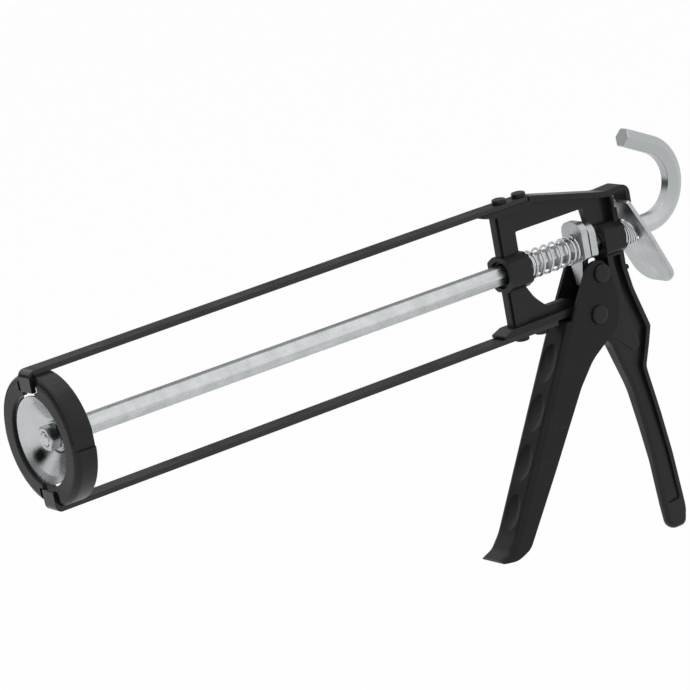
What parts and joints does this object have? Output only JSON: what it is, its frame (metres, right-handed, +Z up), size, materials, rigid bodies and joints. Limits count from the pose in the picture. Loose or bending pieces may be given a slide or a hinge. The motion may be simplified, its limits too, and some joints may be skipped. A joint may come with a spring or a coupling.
{
  "type": "caulking gun",
  "caption": "Skeleton caulking gun: ring and two flat bars form a cartridge cradle, ribbed cast frame with grip, lever trigger, sprung clamping plates and hooked hexagonal plunger rod.",
  "frame": {"origin": "on the plunger rod's axis, at the front face of the ring (the nozzle opening's centre)", "axes": "+X forward along the rod, towards the nozzle; +Y to the user's left; +Z up, away from the grip"},
  "size_m": [0.347, 0.0552, 0.1858],
  "materials": {
    "black_enamel": "semi-gloss black enamel over steel and die casting",
    "zinc_plate": "bright zinc plating, lightly drawn",
    "spring_wire": "bright plated spring wire"
  },
  "bodies": {
    "frame": {"frame_casting": "black_enamel", "front_ring": "black_enamel", "upper_bar": "black_enamel", "lower_bar": "black_enamel", "upper_front_rivet": "black_enamel", "upper_rear_rivet": "black_enamel", "lower_front_rivet": "black_enamel", "lower_rear_rivet": "black_enamel", "pivot_rivet": "black_enamel", "drive_spring": "spring_wire", "release_spring": "spring_wire"},
    "trigger": {"trigger": "black_enamel", "drive_rivet": "black_enamel"},
    "drive_plates": {"front_drive_plate": "zinc_plate", "rear_drive_plate": "zinc_plate"},
    "rod": {"plunger_rod": "zinc_plate", "plunger_disc": "zinc_plate", "disc_washer": "zinc_plate", "disc_nut": "zinc_plate"},
    "release_plate": {"release_plate": "zinc_plate"}
  },
  "joints": [
    {"name": "trigger_pivot", "type": "hinge", "parent": "frame", "child": "trigger", "pos_m": [-0.2825, 0, -0.03], "axis": [0, 1, 0], "range_deg": [0, 34], "stiffness_Nm_per_rad": 0.9, "springref_deg": -20.05},
    {"name": "plates_slide", "type": "slide", "parent": "frame", "child": "drive_plates", "axis": [1, 0, 0], "range_m": [0, 0.0112], "deforming": ["drive_spring"]},
    {"name": "rod_slide", "type": "slide", "parent": "frame", "child": "rod", "axis": [1, 0, 0], "range_m": [-0.222, 0]},
    {"name": "release_hinge", "type": "hinge", "parent": "frame", "child": "release_plate", "pos_m": [-0.304, 0, 0.018], "axis": [0, -1, 0], "range_deg": [0, 8], "stiffness_Nm_per_rad": 0.9, "springref_deg": -20.05, "deforming": ["release_spring"]}
  ],
  "couplings": [
    {"joint": "plates_slide", "follows": "trigger_pivot", "m_per_rad": 0.0183}
  ]
}
